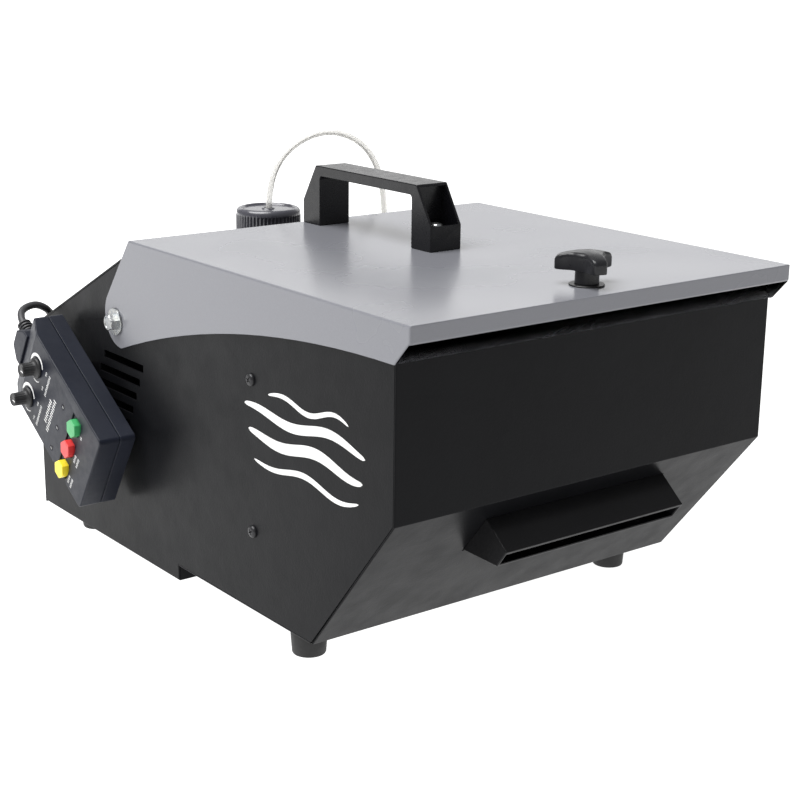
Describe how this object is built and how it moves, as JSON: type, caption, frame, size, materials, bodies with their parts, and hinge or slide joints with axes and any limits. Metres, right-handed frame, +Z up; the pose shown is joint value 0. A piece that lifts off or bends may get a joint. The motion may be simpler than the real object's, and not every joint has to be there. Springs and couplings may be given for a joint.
{
  "type": "fog machine",
  "caption": "Box-shaped fog machine with an ice chamber under a hinged silver lid, sloping chin with a fog outlet, and a wired remote on its side.",
  "frame": {"origin": "middle of the object's footprint on the floor, cords left out", "axes": "+Y from the front to the rear, +X to the right seen from the front, +Z up"},
  "size_m": [0.346, 0.535, 0.2785],
  "materials": {
    "black_steel": "satin black paint on folded sheet",
    "silver_paint": "semi-gloss silver-grey paint",
    "zinc": "bright zinc plating",
    "black_screw": "black oxide",
    "steel": "plain stainless steel",
    "aluminium": "cast",
    "handle_plastic": "fine-grained black nylon",
    "knob_plastic": "moulded black",
    "duct_plastic": "satin black",
    "rubber": "matt black",
    "foam": "closed-cell foam",
    "cap_plastic": "polished ribbed black",
    "tank_plastic": "natural translucent polyethylene",
    "clear_tube": "clear flexible tube",
    "grey_plastic": "fine-textured dark blue-grey",
    "dial_plastic": "soft-touch black",
    "green_plastic": "green push button",
    "red_plastic": "red push button",
    "yellow_plastic": "yellow push button",
    "lamp": "small dark lens",
    "circuit_board": "green laminate with components",
    "cable_plastic": "matt black jacket",
    "black_plastic": "moulded black"
  },
  "bodies": {
    "casing": {"left_side_panel": "black_steel", "right_side_panel": "black_steel", "front_panel": "black_steel", "outlet_duct": "duct_plastic", "front_floor": "black_steel", "base_pan": "black_steel", "rear_panel": "black_steel", "rear_cover": "black_steel", "feet": "rubber", "panel_screws": "black_screw", "ice_chamber": "steel", "ice_rack": "steel", "drain_bush": "steel", "hinge_fasteners": "zinc", "threaded_insert": "zinc", "fluid_tank": "tank_plastic", "pickup_tube": "clear_tube", "tank_strap": "black_steel", "heater_block": "aluminium", "heater_cover": "steel", "heater_posts": "steel", "fog_pipe": "steel", "thermostat": "black_plastic", "pump": "steel", "pump_bracket": "black_steel", "control_board": "circuit_board", "power_inlet": "black_plastic", "switch_frame": "black_plastic", "fuse_holder": "black_plastic", "remote_socket": "zinc", "remote_plug": "black_plastic", "transformer": "steel", "remote_holder": "black_steel", "remote_cable": "cable_plastic", "remote_cable_end": "cable_plastic", "fluid_tube": "clear_tube", "remote_cable_coil": "cable_plastic", "tube_grommet": "rubber"},
    "lid": {"lid": "silver_paint", "lid_gasket": "foam", "lid_handle": "handle_plastic", "handle_fasteners": "zinc", "lid_knob_washer": "black_plastic"},
    "clamp_knob": {"lid_knob": "knob_plastic", "lid_knob_stud": "zinc"},
    "tank_cap": {"tank_cap": "cap_plastic"},
    "drain_plug": {"drain_plug": "black_plastic"},
    "rocker": {"power_rocker": "black_plastic"},
    "fuse_cap": {"fuse_cap": "black_plastic"},
    "remote": {"remote_back_shell": "grey_plastic", "remote_front_shell": "grey_plastic", "remote_board": "circuit_board", "status_lamps": "lamp", "remote_gland": "cable_plastic", "remote_screws": "black_screw"},
    "interval_dial": {"interval_dial": "dial_plastic"},
    "duration_dial": {"duration_dial": "dial_plastic"},
    "green_button": {"green_button": "green_plastic"},
    "red_button": {"red_button": "red_plastic"},
    "yellow_button": {"yellow_button": "yellow_plastic"}
  },
  "joints": [
    {"name": "lid_hinge", "type": "hinge", "parent": "casing", "child": "lid", "pos_m": [0.0188, 0.0915, 0.1724], "axis": [-1, 0, 0], "range_deg": [0, 95]},
    {"name": "clamp_knob_turn", "type": "hinge", "parent": "lid", "child": "clamp_knob", "pos_m": [0.0188, -0.2019, 0.24], "axis": [0, 0, 1], "continuous": true},
    {"name": "tank_cap_turn", "type": "hinge", "parent": "casing", "child": "tank_cap", "pos_m": [0.0578, 0.1926, 0.205], "axis": [0, 0, 1], "range_deg": [0, 540]},
    {"name": "drain_plug_turn", "type": "hinge", "parent": "casing", "child": "drain_plug", "pos_m": [0.0188, -0.0274, 0.02], "axis": [0, 0, -1], "range_deg": [0, 720]},
    {"name": "power_rocker_tilt", "type": "hinge", "parent": "casing", "child": "rocker", "pos_m": [0.1308, 0.2111, 0.088], "axis": [1, 0, 0], "range_deg": [0, 20]},
    {"name": "fuse_cap_turn", "type": "hinge", "parent": "casing", "child": "fuse_cap", "pos_m": [0.1308, 0.2226, 0.124], "axis": [0, 1, 0], "range_deg": [0, 90]},
    {"name": "remote_pull_off", "type": "slide", "parent": "casing", "child": "remote", "axis": [-1, 0, 0], "range_m": [0, 0.05]},
    {"name": "interval_dial_turn", "type": "hinge", "parent": "remote", "child": "interval_dial", "pos_m": [-0.1642, 0.14933, 0.13285], "axis": [-1, 0, 0], "range_deg": [-150, 150]},
    {"name": "duration_dial_turn", "type": "hinge", "parent": "remote", "child": "duration_dial", "pos_m": [-0.1642, 0.16512, 0.10852], "axis": [-1, 0, 0], "range_deg": [-150, 150]},
    {"name": "green_button_press", "type": "slide", "parent": "remote", "child": "green_button", "axis": [1, 0, 0], "range_m": [0, 0.0025], "stiffness_N_per_m": 400},
    {"name": "red_button_press", "type": "slide", "parent": "remote", "child": "red_button", "axis": [1, 0, 0], "range_m": [0, 0.0025], "stiffness_N_per_m": 400},
    {"name": "yellow_button_press", "type": "slide", "parent": "remote", "child": "yellow_button", "axis": [1, 0, 0], "range_m": [0, 0.0025], "stiffness_N_per_m": 400}
  ]
}
